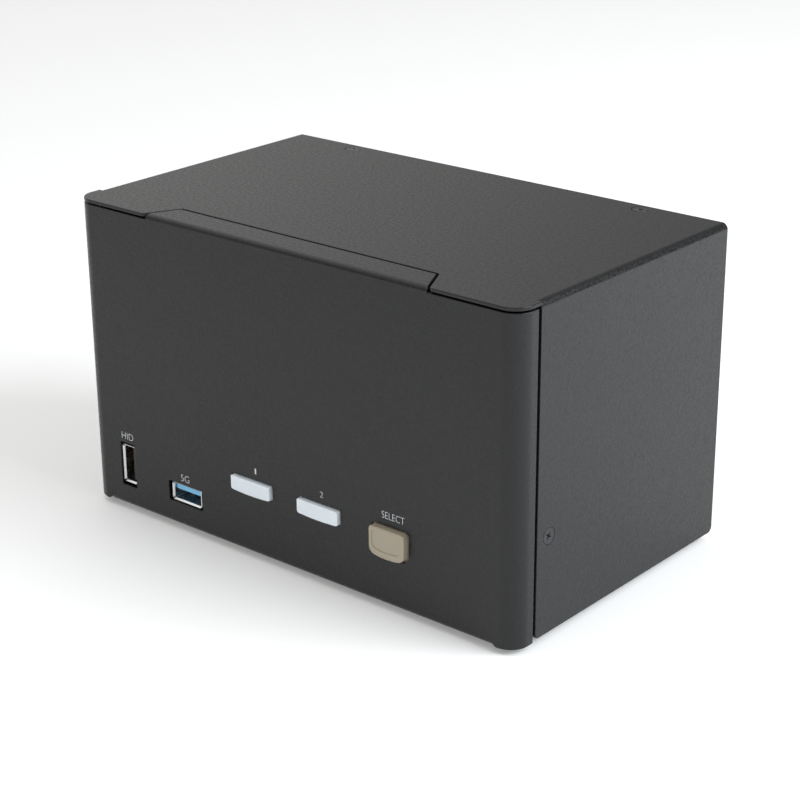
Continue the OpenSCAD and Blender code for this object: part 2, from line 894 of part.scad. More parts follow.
module capacitors() {
    color("#2b3f77") place() for (x = [-70, -62, -54], y = [56, 66, 76]) {
        translate([x, y, main_top]) cylinder(r = 3.15, h = 8, $fn = FINE);
    }
}

// ---- Rear sockets ----

// Video socket outline, with one corner cut off
module video_outline(w, h, cut) {
    polygon([[-w/2 + cut, 0], [w/2, 0], [w/2, h], [-w/2, h], [-w/2, cut]]);
}

module video_shells() {
    color("#c8c8c8") place() for (z = video_zs, x = video_xs) {
        translate([x, 0, z + board_t + video_rise]) difference() {
            to_back(rear_face - 16, rear_face) video_outline(video_w, video_h, 1.8);
            to_back(rear_face - 15, rear_face + 1) translate([0, port_wall]) {
                video_outline(video_w - 2*port_wall, video_h - 2*port_wall, 1.5);
            }
        }
    }
}

module video_inserts() {
    color("#101010") place() for (z = video_zs, x = video_xs) {
        translate([x, 0, z + board_t + video_rise]) {
            to_back(rear_face - 14.9, rear_face - 9) translate([0, port_wall + 0.05]) {
                video_outline(video_w - 2*port_wall - 0.1, video_h - 2*port_wall - 0.1, 1.5);
            }
            translate([-6.6, rear_face - 9.1, 2.2]) cube([13.2, 7.6, 1.4]);
        }
    }
}

module host_shells() {
    color("#c8c8c8") place() for (x = host_xs) {
        translate([x - host_w/2, rear_face - 16, main_top + 0.2]) difference() {
            cube([host_w, 16, host_h]);
            translate([port_wall, 1, port_wall]) {
                cube([host_w - 2*port_wall, 16, host_h - 2*port_wall]);
            }
        }
    }
}

// A square insert with a well for the plug and a block in the middle that carries contacts
module host_inserts() {
    wall = port_wall + 0.05;
    color("#1e1e20") place() for (x = host_xs) {
        translate([x - host_w/2, rear_face - 14.9, main_top + 0.2]) {
            difference() {
                translate([wall, 0, wall]) cube([host_w - 2*wall, 14.3, host_h - 2*wall]);
                translate([1.75, 4, 1.5]) cube([host_w - 3.5, 12, host_h - 3]);
            }
            translate([host_w/2 - 2.8, 3.9, host_h/2 - 1.6]) cube([5.6, 9, 3.2]);
        }
    }
}

module at_console(x) {
    place() translate([x, rear_face, main_top + 0.2]) rotate([0, 0, 180]) children();
}

module console_shells() {
    color("#c8c8c8") for (x = console_xs) {
        at_console(x) flat_shell(port_shell_w, port_shell_h, port_len);
    }
}

module console_inserts() {
    color("#101010") for (x = console_xs) {
        at_console(x) flat_insert(port_shell_w, port_shell_h, port_len);
    }
}

jack_r = 1.8;
jack_nose_r = 2.9;

module audio_jacks() {
    color("#1a1a1c") place() for (x = audio_xs) {
        difference() {
            union() {
                translate([x - 3.2, rear_in - 12, main_top]) cube([6.4, 11.8, 6.4]);
                bar_y(x, audio_z, jack_nose_r, rear_in - 0.3, rear_face - 0.2);
            }
            bar_y(x, audio_z, jack_r, rear_in - 11, rear_face + 1);
        }
    }
}

// The coloured ring round the mouth of each audio jack
module audio_rings() {
    color("#7fb26a") place() for (x = audio_xs) {
        difference() {
            bar_y(x, audio_z, jack_nose_r, rear_face - 0.2, rear_face + 0.3);
            bar_y(x, audio_z, jack_r + 0.1, rear_face - 1, rear_face + 1);
        }
    }
}

power_r = 4;
power_well_r = 3.15;

module power_inlet() {
    color("#1a1a1c") place() difference() {
        union() {
            translate([power_x - 4.6, rear_in - 14, main_top]) cube([9.2, 13.8, 10.4]);
            bar_y(power_x, power_z, power_r, rear_in - 0.3, rear_face);
        }
        bar_y(power_x, power_z, power_well_r, rear_in - 11, rear_face + 1);
        bar_y(power_x, power_z, 1.05, rear_in - 13, rear_in - 10);
    }
}

module power_pin() {
    color("#c0c0c0") place() bar_y(power_x, power_z, 1.02, rear_in - 13, rear_face - 1.5);
}

cover();
front_panel();
rear_panel();
base_tray();
rubber_feet();
top_screws();
side_screws();
base_screws();
panel_screws();
stud_nuts();
ground_screw();
lamp_window_1();
lamp_window_2();
select_button();
switch_plunger();
switch_body();
button_frame();
button_board();
button_header();
lamp_leds();
hid_shell();
hid_insert();
hid_contacts();
fast_shell();
fast_insert();
fast_contacts();
main_board();
video_board_1();
video_board_2();
video_board_3();
base_standoffs();
stack_standoffs();
board_screws();
board_sockets();
board_plugs();
video_chips();
heat_sinks();
hub_chips();
capacitors();
video_shells();
video_inserts();
host_shells();
host_inserts();
console_shells();
console_inserts();
audio_jacks();
audio_rings();
power_inlet();
power_pin();
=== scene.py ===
import math

import bmesh
import bpy
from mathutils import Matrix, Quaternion, Vector


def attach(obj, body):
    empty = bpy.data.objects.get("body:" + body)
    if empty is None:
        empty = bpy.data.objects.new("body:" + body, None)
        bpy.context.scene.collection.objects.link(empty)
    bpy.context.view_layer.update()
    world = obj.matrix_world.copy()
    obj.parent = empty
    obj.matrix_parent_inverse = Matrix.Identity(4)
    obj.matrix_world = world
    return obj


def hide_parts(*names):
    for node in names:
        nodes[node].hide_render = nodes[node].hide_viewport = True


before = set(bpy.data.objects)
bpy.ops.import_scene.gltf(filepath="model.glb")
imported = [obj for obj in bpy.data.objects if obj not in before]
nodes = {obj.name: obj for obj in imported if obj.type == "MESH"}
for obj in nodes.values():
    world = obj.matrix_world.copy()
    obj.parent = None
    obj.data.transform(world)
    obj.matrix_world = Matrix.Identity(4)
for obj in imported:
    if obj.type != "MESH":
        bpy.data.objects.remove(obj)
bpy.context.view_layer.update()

# Lengths in this script are millimetres, from the front face and the underside of the
# case, as a maker would draw them. drawn() turns them into the row frame's metres.
MM = 0.001
BODY_W = 185.0
BODY_D = 109.0
BODY_H = 108.0
FOOT_H = 2.0
HALF_W = BODY_W / 2

# Sheet metal: the cover, with a notch in the front of its top, and the front panel
COVER_T = 1.2
SHEET_T = 1.0
COVER_BEND = 2.2
COVER_EDGE = 0.28
CORNER_R = 6.5
PANEL_BEND = 1.8
PANEL_EDGE = 0.22
EAR_INNER = 50.0
SEAM_Y = 10.3
SEAM_GAP = 1.2
SKIRT = 0.55
PANEL_TOP = BODY_H - COVER_T - 0.6
TAB_OUT = HALF_W - COVER_T - 0.2
TAB_BACK = 24.0
TAB_LOW = 5
TAB_LAP = 1.7
NOTCH_HALF = 60.0
NOTCH_BACK_HALF = 54.0
NOTCH_Y = 12.0
NOTCH_CUT = (BODY_H - 8, BODY_H + 2)
GROOVE = 0.9
FOLD_Z = 104.0
BOTTOM_HALF = HALF_W - 8.5
BOTTOM_FLANGE_Y = 14.0
BOTTOM_CUT = 3.0
STUDS = (-32.0, 61.0)
STUD_Z = 22.0

# Screws
TOP_SCREW = (62.0, BODY_D - 4.3)
SIDE_SCREW = (16.1, 33.1)
PANEL_SCREWS = (-66.0, -22.0, 22.0, 66.0)
PANEL_SCREW_Y = 9.0
HEAD_R = 2.75
HEAD_T = 1.15
HEAD_SUNK = 0.08
HOLE_R = 2.95
BORE_R = 1.65
SHANK_R = 1.45
SCREW_LENGTH = 6.0

# Front sockets
HID = (-74.3, 15.5)
FAST = (-46.5, 11.9)
PORT_W = 16.0
PORT_H = 7.2
SHELL_W = 13.3
SHELL_H = 5.9
SHELL_T = 0.35
SHELL_DEPTH = 14
MOUTH_Y = 0.7
LIP = 0.45
BASE_Y = 10.7
TONGUE_T = 1.8
CONTACTS = 4
CONTACT_PITCH = 2.4

# Lamp windows and push button
LAMPS = (-14.75, 14.65)
LAMP_TOP = 26.5
LAMP_W = 17.4
LAMP_H = 5.3
LAMP_OUT = 1.2
BUTTON_X = 44.05
BUTTON_TOP = 26.9
BUTTON_W = 14.2
BUTTON_H = 10.1
BUTTON_SAG = 0.9
BUTTON_OUT = 2.05
RIM = 1.1

# Meshes: cuts on each side of a sagging edge's middle, the angle in degrees below which
# faces are shaded as one curve, and the distance in metres at which points are merged
SAG_CUTS = 4
SMOOTH_ANGLE = 34
MERGE = 2e-6


# ---- Placing and picking ----

def drawn(x, y, z):
    """A point of the drawing, in the row frame."""
    return Vector((x * MM, (y - BODY_D / 2) * MM, (z + FOOT_H) * MM))


def spot(point):
    """A point of the row frame, in the drawing."""
    return Vector((point.x / MM, point.y / MM + BODY_D / 2, point.z / MM - FOOT_H))


def clear():
    if bpy.context.mode != "OBJECT":
        bpy.ops.object.mode_set(mode="OBJECT")
    bpy.ops.object.select_all(action="DESELECT")


def use(piece):
    clear()
    piece.select_set(True)
    bpy.context.view_layer.objects.active = piece
    return piece


def settle(piece):
    """Leaves the piece's place in its mesh and its object at the origin."""
    use(piece)
    bpy.ops.object.transform_apply(location=True, rotation=True, scale=True)
    return piece


def block(name, low, high):
    """A box between two corners of the drawing."""
    clear()
    a, b = drawn(*low), drawn(*high)
    bpy.ops.mesh.primitive_cube_add(size=1, location=(a + b) / 2)
    piece = bpy.context.object
    piece.name = name
    piece.scale = b - a
    return settle(piece)


def rod(name, centre, axis, radius, length, sides=48, end_radius=None):
    """A round bar that starts at a point of the drawing and runs along axis. A second
    radius makes it a cone."""
    clear()
    direction = Vector(axis).normalized()
    middle = drawn(*centre) + direction * (length * MM / 2)
    last = radius if end_radius is None else end_radius
    bpy.ops.mesh.primitive_cone_add(
        vertices=sides, radius1=radius * MM, radius2=last * MM, depth=length * MM)
    piece = bpy.context.object
    piece.name = name
    piece.rotation_mode = "QUATERNION"
    piece.rotation_quaternion = Vector((0, 0, 1)).rotation_difference(direction)
    piece.location = middle
    return settle(piece)


def pick(piece, kind, test):
    """Goes to edit mode with the faces, edges or vertices chosen by a test, and says how
    many there are."""
    use(piece)
    bpy.ops.object.mode_set(mode="EDIT")
    bpy.ops.mesh.select_mode(type=kind)
    bpy.ops.mesh.select_all(action="DESELECT")
    mesh = bmesh.from_edit_mesh(piece.data)
    parts = {"VERT": mesh.verts, "EDGE": mesh.edges, "FACE": mesh.faces}[kind]
    chosen = 0
    for part in parts:
        if test(part):
            part.select_set(True)
            chosen += 1
    mesh.select_flush_mode()
    bmesh.update_edit_mesh(piece.data)
    return chosen


def done():
    bpy.ops.object.mode_set(mode="OBJECT")


def middle(part):
    """The middle of an edge or a face in the drawing."""
    points = [spot(v.co) for v in part.verts]
    return sum(points, Vector()) / len(points)


def runs(edge, axis):
    """Whether an edge runs along the axis with that number."""
    step = edge.verts[1].co - edge.verts[0].co
    return step.length > 0 and abs(step[axis]) > 0.999 * step.length


def near(a, b, slack=0.02):
    return abs(a - b) < slack


def round_edges(piece, test, radius, segments):
    """Rounds the edges that pass the test."""
    if pick(piece, "EDGE", test):
        bpy.ops.mesh.bevel(offset=radius * MM, segments=segments, profile=0.5,
                           affect="EDGES", clamp_overlap=False)
    done()
    return piece


def open_faces(piece, test):
    """Takes away the faces that a folded sheet doesn't have."""
    pick(piece, "FACE", test)
    bpy.ops.mesh.delete(type="FACE")
    done()
    return piece


def modify(piece, kind, **values):
    """Adds a modifier with these values and applies it."""
    use(piece)
    modifier = piece.modifiers.new(kind.lower(), kind)
    for name, value in values.items():
        setattr(modifier, name, value)
    bpy.ops.object.modifier_apply(modifier=modifier.name)
    return piece


def thicken(piece, wall):
    """Gives a folded face its thickness, inwards."""
    return modify(piece, "SOLIDIFY", thickness=wall * MM, offset=-1,
                  use_even_offset=True, use_quality_normals=True)


def combine(piece, others, how):
    """Joins, cuts or intersects the piece with one helper shape or several, which go."""
    for other in others if isinstance(others, (list, tuple)) else [others]:
        modify(piece, "BOOLEAN", object=other, operation=how, solver="EXACT")
        bpy.data.objects.remove(other)
    return piece


def carve(piece, cutters):
    return combine(piece, cutters, "DIFFERENCE")


def weld(piece, others):
    return combine(piece, others, "UNION")


def together(name, pieces):
    """Several closed shapes kept as one piece."""
    clear()
    for piece in pieces:
        piece.select_set(True)
    bpy.context.view_layer.objects.active = pieces[0]
    if len(pieces) > 1:
        bpy.ops.object.join()
    bpy.context.object.name = name
    return bpy.context.object


def tidy_mesh(piece, angle=0.6):
    """Merges doubles and takes out the cuts that lie in one plane."""
    pick(piece, "VERT", lambda v: True)
    bpy.ops.mesh.remove_doubles(threshold=MERGE)
    bpy.ops.mesh.dissolve_limited(angle_limit=math.radians(angle))
    done()
    return piece


def smooth(piece):
    """Smooth curves and bends, with flats that stay flat up to their rounded edges."""
    use(piece)
    bpy.ops.object.shade_smooth_by_angle(angle=math.radians(SMOOTH_ANGLE))
    return modify(piece, "WEIGHTED_NORMAL", mode="FACE_AREA", weight=80, keep_sharp=True)


def soften(piece, width, segments=3, angle=38, leave=None):
    """Rounds every edge that is sharper than the angle, as a coat or a mould does. leave
    tells which edges stay as they are."""
    def sharp(edge):
        return (len(edge.link_faces) == 2
                and edge.calc_face_angle(0) > math.radians(angle)
                and not (leave and leave(middle(edge))))
    round_edges(piece, sharp, width, segments)
    return smooth(piece)


def put(piece, material, body="case", node=None):
    """Gives a finished piece its finish and its body, and hides the CAD node it stands for.
    """
    piece.data.materials.clear()
    piece.data.materials.append(material)
    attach(piece, body)
    if node:
        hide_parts(node)
    return piece


# ---- Finishes ----

# The values that most of a noise pattern lies between, and the powder coat's orange peel
# and specks
NOISE_SPAN = (0.3, 0.7)
PEEL_HEIGHT = 0.055
PEEL_SWING = 0.11
SPECK_COLOUR = (0.006, 0.006, 0.007, 1)


def wire(tree, source, output, target, socket):
    tree.links.new(source.outputs[output], target.inputs[socket])


def noise(tree, place, scale, detail):
    """A noise pattern over the places that a node gives."""
    pattern = tree.nodes.new("ShaderNodeTexNoise")
    pattern.inputs["Scale"].default_value = scale
    pattern.inputs["Detail"].default_value = detail
    wire(tree, place, "Vector", pattern, "Vector")
    return pattern


def spread(tree, pattern, output, span, result):
    """Stretches a pattern's values from one span, low and high, to another."""
    level = tree.nodes.new("ShaderNodeMapRange")
    level.inputs["From Min"].default_value = span[0]
    level.inputs["From Max"].default_value = span[1]
    level.inputs["To Min"].default_value = result[0]
    level.inputs["To Max"].default_value = result[1]
    wire(tree, pattern, output, level, "Value")
    return level


def bump(tree, pattern, height):
    """Relief from a pattern, with its height in millimetres."""
    relief = tree.nodes.new("ShaderNodeBump")
    relief.inputs["Strength"].default_value = 1.0
    relief.inputs["Distance"].default_value = height * MM
    wire(tree, pattern, "Fac", relief, "Height")
    return relief


def finish(name, colour, roughness, metallic=0.0, mottle=(60.0, 0.12), rough_swing=0.06,
           grain=(1500.0, 0.012), streak=(1.0, 1.0, 1.0), **sockets):
    """A procedural finish. mottle is the scale and depth of slow colour change, and
    rough_swing how far the roughness goes with it. grain is the scale of the fine relief
    and its height in millimetres. streak scales the patterns along each axis, and sockets
    are further values of the shader."""
    material = bpy.data.materials.new(name)
    material.use_nodes = True
    tree = material.node_tree
    shader = tree.nodes["Principled BSDF"]
    shader.inputs["Metallic"].default_value = metallic
    for socket, value in sockets.items():
        shader.inputs[socket.replace("_", " ")].default_value = value
    place = tree.nodes.new("ShaderNodeTexCoord")
    turn = tree.nodes.new("ShaderNodeMapping")
    turn.inputs["Scale"].default_value = streak
    wire(tree, place, "Object", turn, "Vector")
    slow = noise(tree, turn, mottle[0], 4.0)
    shade = tree.nodes.new("ShaderNodeMix")
    shade.data_type = "RGBA"
    dark = [c * (1 - mottle[1]) for c in colour]
    light = [min(1.0, c * (1 + mottle[1])) for c in colour]
    shade.inputs["A"].default_value = (*dark, 1)
    shade.inputs["B"].default_value = (*light, 1)
    wire(tree, slow, "Fac", shade, "Factor")
    wire(tree, shade, "Result", shader, "Base Color")
    swing = (max(0.02, roughness - rough_swing), min(1.0, roughness + rough_swing))
    level = spread(tree, slow, "Fac", NOISE_SPAN, swing)
    wire(tree, level, "Result", shader, "Roughness")
    relief = bump(tree, noise(tree, turn, grain[0], 3.0), grain[1])
    wire(tree, relief, "Normal", shader, "Normal")
    return material


def powder_coat(name, colour, roughness, specular):
    """Textured powder coat: a fine pebble, a slow orange peel and faint lighter specks."""
    material = finish(name, colour, roughness, mottle=(28.0, 0.10), rough_swing=0.03,
                      grain=(1900.0, 0.035), Specular_IOR_Level=specular)
    tree = material.node_tree
    shader = tree.nodes["Principled BSDF"]
    relief = shader.inputs["Normal"].links[0].from_node
    place = [n for n in tree.nodes if n.type == "MAPPING"][0]
    peel = noise(tree, place, 1000.0, 2.0)
    wave = bump(tree, peel, PEEL_HEIGHT)
    wire(tree, wave, "Normal", relief, "Normal")
    swing = (roughness - PEEL_SWING, roughness + PEEL_SWING)
    dull = spread(tree, peel, "Fac", NOISE_SPAN, swing)
    wire(tree, dull, "Result", shader, "Roughness")
    speck = tree.nodes.new("ShaderNodeTexVoronoi")
    speck.inputs["Scale"].default_value = 2600.0
    wire(tree, place, "Vector", speck, "Vector")
    show = spread(tree, speck, "Distance", (0.05, 0.45), (1.0, 0.0))
    old = shader.inputs["Base Color"].links[0].from_node
    over = tree.nodes.new("ShaderNodeMix")
    over.data_type = "RGBA"
    over.blend_type = "ADD"
    over.inputs["B"].default_value = SPECK_COLOUR
    wire(tree, old, "Result", over, "A")
    wire(tree, show, "Result", over, "Factor")
    wire(tree, over, "Result", shader, "Base Color")
    return material


coat = powder_coat("black powder coat", (0.014, 0.014, 0.0145), 0.31, 0.32)
screw_black = finish("black zinc screw", (0.055, 0.055, 0.06), 0.27, metallic=0.8,
                     mottle=(500.0, 0.2), grain=(2500.0, 0.006))
nickel = finish("bright nickel plate", (0.62, 0.61, 0.59), 0.24, metallic=1.0,
                mottle=(300.0, 0.06), grain=(3000.0, 0.003))
tin = finish("tinned socket shell", (0.74, 0.74, 0.75), 0.25, metallic=1.0,
             mottle=(400.0, 0.05), grain=(1200.0, 0.004), streak=(1, 0.08, 1))
# Black plastic. The blue socket's base also gets this finish, as painted shade of its deep
# end.
black_plastic_and_socket_shade = finish("black moulded insert and painted socket shade", (0.010, 0.010, 0.011), 0.42,
                      mottle=(300.0, 0.15), grain=(2500.0, 0.006))
socket_blue = finish("blue moulded tongue", (0.22, 0.58, 0.90), 0.4,
                     mottle=(300.0, 0.08), grain=(2500.0, 0.006))
gold = finish("gold-flashed contact", (0.83, 0.62, 0.24), 0.25, metallic=1.0,
              mottle=(600.0, 0.06), grain=(2500.0, 0.003))
frosted = finish("frosted light guide", (0.80, 0.87, 0.93), 0.38,
                 mottle=(120.0, 0.04), grain=(1600.0, 0.008),
                 Subsurface_Weight=0.25, Subsurface_Radius=(0.0016, 0.0018, 0.002),
                 Subsurface_Scale=1.0, IOR=1.49)
taupe = finish("taupe push button", (0.385, 0.335, 0.250), 0.36,
               mottle=(200.0, 0.06), grain=(1700.0, 0.012))
mask_green = finish("green solder mask", (0.012, 0.12, 0.05), 0.3,
                    mottle=(180.0, 0.35), grain=(260.0, 0.03))
chip_epoxy = finish("moulded chip epoxy", (0.02, 0.02, 0.022), 0.5,
                    mottle=(400.0, 0.2), grain=(2500.0, 0.01))
sink_metal = finish("extruded heat-sink aluminium", (0.55, 0.57, 0.60), 0.35,
                    metallic=1.0, mottle=(200.0, 0.06), grain=(900.0, 0.006),
                    streak=(1, 0.05, 1))
brass = finish("turned brass standoff", (0.65, 0.47, 0.18), 0.28, metallic=1.0,
               mottle=(300.0, 0.07), grain=(1500.0, 0.004), streak=(0.1, 0.1, 1))
sleeve = finish("capacitor sleeve", (0.03, 0.06, 0.22), 0.3,
                mottle=(200.0, 0.08), grain=(900.0, 0.006))
cream = finish("cream plug moulding", (0.75, 0.70, 0.58), 0.45,
               mottle=(200.0, 0.05), grain=(2000.0, 0.008))
lamp_resin = finish("clear lamp resin", (0.90, 0.88, 0.70), 0.2,
                    mottle=(300.0, 0.04), grain=(1500.0, 0.003))
rubber = finish("black foot rubber", (0.016, 0.016, 0.016), 0.75,
                mottle=(150.0, 0.2), grain=(1300.0, 0.03))
ring_green = finish("green jack ring", (0.16, 0.42, 0.14), 0.4,
                    mottle=(300.0, 0.07), grain=(2500.0, 0.006))
print_white = finish("white panel print", (0.74, 0.76, 0.78), 0.5,
                     mottle=(300.0, 0.08), grain=(2200.0, 0.01))


# ---- Folded sheet metal ----

def notch_block(name, half, y0, y1, z0, z1):
    """A block whose half width is given at the front face, and which narrows towards the
    back as the notch does."""
    slope = (NOTCH_HALF - NOTCH_BACK_HALF) / NOTCH_Y
    wide, narrow = half - slope * y0, half - slope * y1
    piece = block(name, (-wide, y0, z0), (wide, y1, z1))
    pick(piece, "VERT", lambda v: near(spot(v.co).y, y1))
    bpy.ops.transform.resize(value=(narrow / wide, 1, 1),
                             center_override=drawn(0, y1, z0))
    done()
    return piece


def countersink(x, y, z, out):
    """The cutter for a countersunk hole through the cover, whose face is at the point."""
    face = Vector((x, y, z))
    over = 0.25
    shaft = rod("shaft", face - Vector(out) * (COVER_T + 0.6), out, BORE_R, 3.0)
    cone = rod("cone", face - Vector(out) * COVER_T, out, BORE_R, COVER_T + over, 48,
               HOLE_R + over)
    return [shaft, cone]


def make_cover():
    """The folded sheet, with an ear on each side of the notch that reaches the front."""
    skirt_corners = ((SEAM_Y, 1.5), (BODY_D, 2.0))
    mouth_r, bottom_r = 0.9, 0.5
    cover = block("cover_sheet", (-HALF_W, SEAM_Y, SKIRT), (HALF_W, BODY_D, BODY_H))
    round_edges(cover, lambda e: runs(e, 1) and near(middle(e).z, BODY_H), COVER_BEND, 14)
    open_faces(cover, lambda f: abs(f.normal.y) > 0.9 or f.normal.z < -0.9)
    for y, radius in skirt_corners:
        pick(cover, "VERT", lambda v: near(spot(v.co).z, SKIRT) and near(spot(v.co).y, y))
        bpy.ops.mesh.bevel(offset=radius * MM, segments=7, affect="VERTICES")
        done()
    thicken(cover, COVER_T)
    for side in (-1, 1):
        inner, outer = sorted((side * EAR_INNER, side * HALF_W))
        ear = block("ear", (inner, 0, BODY_H - COVER_T), (outer, SEAM_Y, BODY_H))
        round_edges(ear, lambda e: runs(e, 2) and near(middle(e).y, 0)
                    and near(abs(middle(e).x), HALF_W), CORNER_R, 14)
        inner, outer = sorted((side * EAR_INNER, side * (HALF_W - COVER_BEND)))
        root = block("root", (inner, 6.0, BODY_H - COVER_T), (outer, 15.0, BODY_H))
        weld(cover, [ear, root])
    carve(cover, notch_block("notch", NOTCH_HALF, -1.0, NOTCH_Y, *NOTCH_CUT))
    for side in (-1, 1):
        carve(cover, countersink(side * TOP_SCREW[0], TOP_SCREW[1], BODY_H, (0, 0, 1)))
        carve(cover, countersink(side * HALF_W, *SIDE_SCREW, (side, 0, 0)))
    tidy_mesh(cover)
    round_edges(cover, lambda e: runs(e, 2) and near(middle(e).y, 0, 0.1)
                and near(abs(middle(e).x), NOTCH_HALF, 0.1), mouth_r, 5)
    round_edges(cover, lambda e: runs(e, 2) and near(middle(e).y, NOTCH_Y, 0.1)
                and near(abs(middle(e).x), NOTCH_BACK_HALF, 0.1), bottom_r, 4)
    soften(cover, COVER_EDGE, leave=lambda m: abs(m.x) > HALF_W - COVER_BEND - 0.6
           and abs(m.y - SEAM_Y) < 0.6 and m.z > BODY_H - COVER_BEND - 0.4)
    return put(cover, coat, "case", "cover")


def smile_block(name, x, top, width, height, sag, r_top, r_bottom, y0, y1):
    """A block along Y with a straight top and a bottom edge that sags in the middle."""
    base = top - height + sag
    piece = block(name, (x - width / 2, y0, base), (x + width / 2, y1, top))
    reach = width / 2 - r_bottom - 0.3
    columns = [k * reach / SAG_CUTS for k in range(-SAG_CUTS, SAG_CUTS + 1)]
    for offset in columns:
        pick(piece, "FACE", lambda f: True)
        bpy.ops.mesh.bisect(plane_co=drawn(x + offset, y0, base), plane_no=(1, 0, 0))
        done()
    arc_r = width * width / (8 * sag) + sag / 2
    for offset in columns:
        drop = math.sqrt(arc_r * arc_r - offset * offset) - (arc_r - sag)
        pick(piece, "VERT", lambda v: near(spot(v.co).z, base, 0.002)
             and near(spot(v.co).x, x + offset, 0.01))
        bpy.ops.transform.translate(value=(0, 0, -drop * MM))
        done()
    tidy_mesh(piece, 0.3)
    sides = (x - width / 2, x + width / 2)
    round_edges(piece, lambda e: runs(e, 1) and near(middle(e).z, top)
                and any(near(middle(e).x, s) for s in sides), r_top, 6)
    round_edges(piece, lambda e: runs(e, 1) and near(middle(e).z, base, 0.05)
                and any(near(middle(e).x, s) for s in sides), r_bottom, 8)
    return piece


def lamp_shape(name, x, grow, y0, y1):
    """The outline of a lamp window, grown by a clearance."""
    return smile_block(name, x, LAMP_TOP + grow, LAMP_W + 2 * grow, LAMP_H + 2 * grow,
                       0.4, 0.5 + grow, 0.9 + grow, y0, y1)


def button_shape(name, grow, y0, y1):
    """The outline of the push button, grown by a clearance."""
    return smile_block(name, BUTTON_X, BUTTON_TOP + grow, BUTTON_W + 2 * grow,
                       BUTTON_H + 2 * grow, BUTTON_SAG, 1.3 + grow, 2.2 + grow, y0, y1)


def port_hole(x, z, width, height):
    """The cutter for a socket's opening."""
    hole = block("port_hole", (x - width / 2, -1, z - height / 2),
                 (x + width / 2, 3, z + height / 2))
    return round_edges(hole, lambda e: runs(e, 1), 0.5, 4)


def bent_sheet(name, half, back, z_edge, z_bend):
    """A strip of the front face that turns back at z_bend over a small bend."""
    low, high = sorted((z_edge, z_bend))
    piece = block(name, (-half, 0, low), (half, back, high))
    round_edges(piece, lambda e: runs(e, 0) and near(middle(e).y, 0)
                and near(middle(e).z, z_bend), PANEL_BEND, 10)
    away = -1 if z_bend > z_edge else 1
    open_faces(piece, lambda f: f.normal.y > 0.9 or abs(f.normal.x) > 0.9
               or f.normal.z * away > 0.9)
    return thicken(piece, SHEET_T)


def make_front_panel():
    """The front sheet with its round upright corners, its top fold that fills the cover's
    notch, its bottom fold, side tabs, studs and openings."""
    wall_back = SEAM_Y - SEAM_GAP
    panel = block("front_sheet", (-HALF_W, 0, 0), (HALF_W, wall_back, PANEL_TOP))
    round_edges(panel, lambda e: runs(e, 2) and near(middle(e).y, 0), CORNER_R, 16)
    open_faces(panel, lambda f: f.normal.y > 0.9 or abs(f.normal.z) > 0.9)
    thicken(panel, SHEET_T)
    carve(panel, [
        block("bottom_cut", (-BOTTOM_HALF, -1, -1), (BOTTOM_HALF, 3, BOTTOM_CUT)),
        notch_block("top_cut", NOTCH_HALF - GROOVE - 1.2, -1.0, 3.0, FOLD_Z, BODY_H - 1)])
    round_edges(panel, lambda e: runs(e, 1) and near(middle(e).z, 0)
                and near(abs(middle(e).x), BOTTOM_HALF), 1.9, 8)
    bottom = bent_sheet("bottom_fold", BOTTOM_HALF, BOTTOM_FLANGE_Y, BOTTOM_CUT + 0.2, 0.0)
    soften(bottom, PANEL_EDGE, leave=lambda m: m.z > BOTTOM_CUT - 0.1)
    top = bent_sheet("top_fold", NOTCH_HALF + 2, NOTCH_Y - GROOVE, FOLD_Z, BODY_H)
    fold_plan = notch_block("fold_plan", NOTCH_HALF - GROOVE, -1.0, 14.0, *NOTCH_CUT)
    combine(top, fold_plan, "INTERSECT")
    soften(top, PANEL_EDGE, leave=lambda m: m.z < FOLD_Z + 0.5)
    weld(panel, [bottom, top])
    tab_top = PANEL_TOP - 3
    for side, stud_x in zip((-1, 1), STUDS):
        low, high = sorted((side * (TAB_OUT - SHEET_T), side * TAB_OUT))
        tab = block("tab", (low, wall_back - TAB_LAP, TAB_LOW), (high, TAB_BACK, tab_top))
        low, high = sorted((side * (TAB_OUT - SHEET_T), side * (HALF_W - 0.3)))
        step = block("step", (low, wall_back - TAB_LAP, TAB_LOW),
                     (high, wall_back - 0.3, tab_top))
        weld(panel, [tab, step])
        weld(panel, rod("stud", (stud_x, 0.8, STUD_Z), (0, 1, 0), 1.5, 13.4, 24))
    carve(panel, [port_hole(*HID, PORT_H, PORT_W), port_hole(*FAST, PORT_W, PORT_H)])
    for x in LAMPS:
        carve(panel, lamp_shape("lamp_hole", x, 0.35, -1, 3))
    carve(panel, button_shape("button_hole", 0.55, -1, 3))
    for x in PANEL_SCREWS:
        carve(panel, rod("screw_hole", (x, PANEL_SCREW_Y, -1), (0, 0, 1), HEAD_R, 3.0))
    tidy_mesh(panel)

    def at_fold_end(m):
        above = m.z > FOLD_Z - 0.5 and NOTCH_HALF - 3 < abs(m.x) < NOTCH_HALF + 1
        below = m.z < BOTTOM_CUT + 1 and BOTTOM_HALF - 0.5 < abs(m.x) < BOTTOM_HALF + 2.2
        return above or below
    soften(panel, PANEL_EDGE, leave=at_fold_end)
    return put(panel, coat, "case", "front_panel")


# ---- Screws ----

